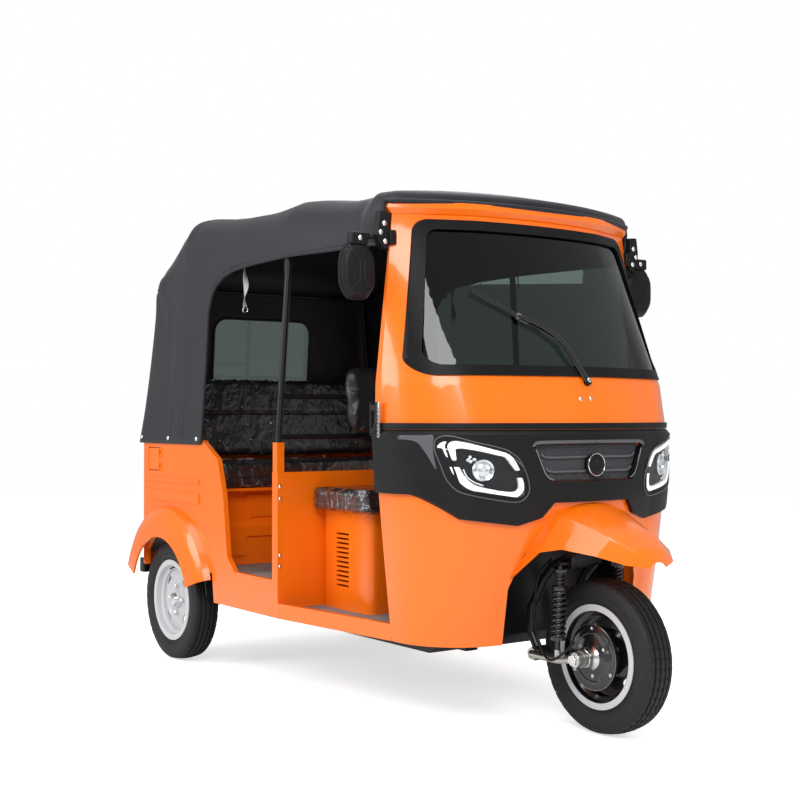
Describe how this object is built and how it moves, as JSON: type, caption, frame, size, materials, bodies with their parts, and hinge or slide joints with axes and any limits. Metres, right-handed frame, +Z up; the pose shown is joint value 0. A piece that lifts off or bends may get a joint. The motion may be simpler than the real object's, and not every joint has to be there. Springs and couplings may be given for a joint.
{
  "type": "auto rickshaw",
  "caption": "Three-wheeled passenger auto rickshaw with an open-sided cab, bench seats, a soft top and a single steered front wheel.",
  "frame": {"origin": "on the ground at the middle of the vehicle's length and width", "axes": "+Z up, the vehicle faces -Y, its left side is +X, its length runs along Y"},
  "size_m": [1.424, 2.6499, 1.884],
  "materials": {
    "body_paint": "gloss",
    "black_steel": "satin",
    "spring_steel": "satin",
    "black_plastic": "matte",
    "floor_rubber": "matte",
    "seal_rubber": "matte",
    "screen_glass": "gloss",
    "lamp_glass": "gloss",
    "tail_lens": "gloss",
    "strip_white": "gloss",
    "lamp_chrome": "gloss",
    "hood_cloth": "matte",
    "window_film": "gloss",
    "seat_vinyl": "satin",
    "strap_web": "matte",
    "tyre": "matte",
    "wheel_silver": "satin",
    "wheel_black": "gloss",
    "axle_zinc": "satin",
    "engine_iron": "matte"
  },
  "bodies": {
    "cab": {"belt_trim": "black_plastic", "canopy": "hood_cloth", "chassis_frame": "black_steel", "dashboard": "black_plastic", "daylight_strips": "strip_white", "door_sills": "body_paint", "driver_backrest": "seat_vinyl", "driver_cushion": "seat_vinyl", "driver_floor": "floor_rubber", "driver_seat_base": "body_paint", "engine_block": "engine_iron", "fascia": "black_plastic", "front_cowl": "body_paint", "grab_straps": "strap_web", "grille": "black_plastic", "headlamp_housings": "black_plastic", "headlamp_lenses": "lamp_glass", "hood_frame": "black_steel", "lamp_projectors": "lamp_chrome", "mirrors": "black_plastic", "mudguard": "body_paint", "partition": "body_paint", "passenger_backrest": "seat_vinyl", "passenger_cushion": "seat_vinyl", "passenger_floor": "floor_rubber", "passenger_seat_panel": "body_paint", "post_brackets": "black_steel", "rear_bumper": "black_steel", "rear_fenders": "body_paint", "rear_panel": "body_paint", "rear_suspension": "black_steel", "rear_window": "window_film", "roof_peak": "body_paint", "side_panel_left": "body_paint", "side_panel_right": "body_paint", "tail_lamps": "tail_lens", "underpan": "black_steel", "wheel_houses": "black_steel", "wheel_well": "black_steel", "windscreen_glass": "screen_glass", "windscreen_seal": "seal_rubber", "windscreen_surround": "body_paint", "wiper": "black_plastic"},
    "steering": {"steering_column": "black_steel", "front_fork": "black_steel", "front_links": "axle_zinc", "front_shocks": "spring_steel", "brake_hose": "black_plastic"},
    "front_wheel": {"front_rim": "wheel_black", "front_tyre": "tyre"},
    "rear_wheel_left": {"rear_rim_left": "wheel_silver", "rear_tyre_left": "tyre"},
    "rear_wheel_right": {"rear_rim_right": "wheel_silver", "rear_tyre_right": "tyre"},
    "engine_hatch": {"engine_lid": "body_paint"},
    "filler_cover": {"filler_flap": "body_paint"}
  },
  "joints": [
    {"name": "steering_turn", "type": "hinge", "parent": "cab", "child": "steering", "pos_m": [0, -0.945, 0.56], "axis": [0, 0.4226, 0.9063], "range_deg": [-38, 38]},
    {"name": "front_wheel_spin", "type": "hinge", "parent": "steering", "child": "front_wheel", "pos_m": [0, -1.075, 0.25], "axis": [1, 0, 0], "continuous": true},
    {"name": "rear_wheel_left_spin", "type": "hinge", "parent": "cab", "child": "rear_wheel_left", "pos_m": [0.545, 0.925, 0.25], "axis": [1, 0, 0], "continuous": true},
    {"name": "rear_wheel_right_spin", "type": "hinge", "parent": "cab", "child": "rear_wheel_right", "pos_m": [-0.545, 0.925, 0.25], "axis": [1, 0, 0], "continuous": true},
    {"name": "engine_hatch_lift", "type": "hinge", "parent": "cab", "child": "engine_hatch", "pos_m": [0, 1.2405, 0.853], "axis": [1, 0, 0], "range_deg": [0, 75]},
    {"name": "filler_cover_open", "type": "hinge", "parent": "cab", "child": "filler_cover", "pos_m": [-0.605, 1.025, 0.843], "axis": [0, 0, 1], "range_deg": [0, 95]}
  ]
}
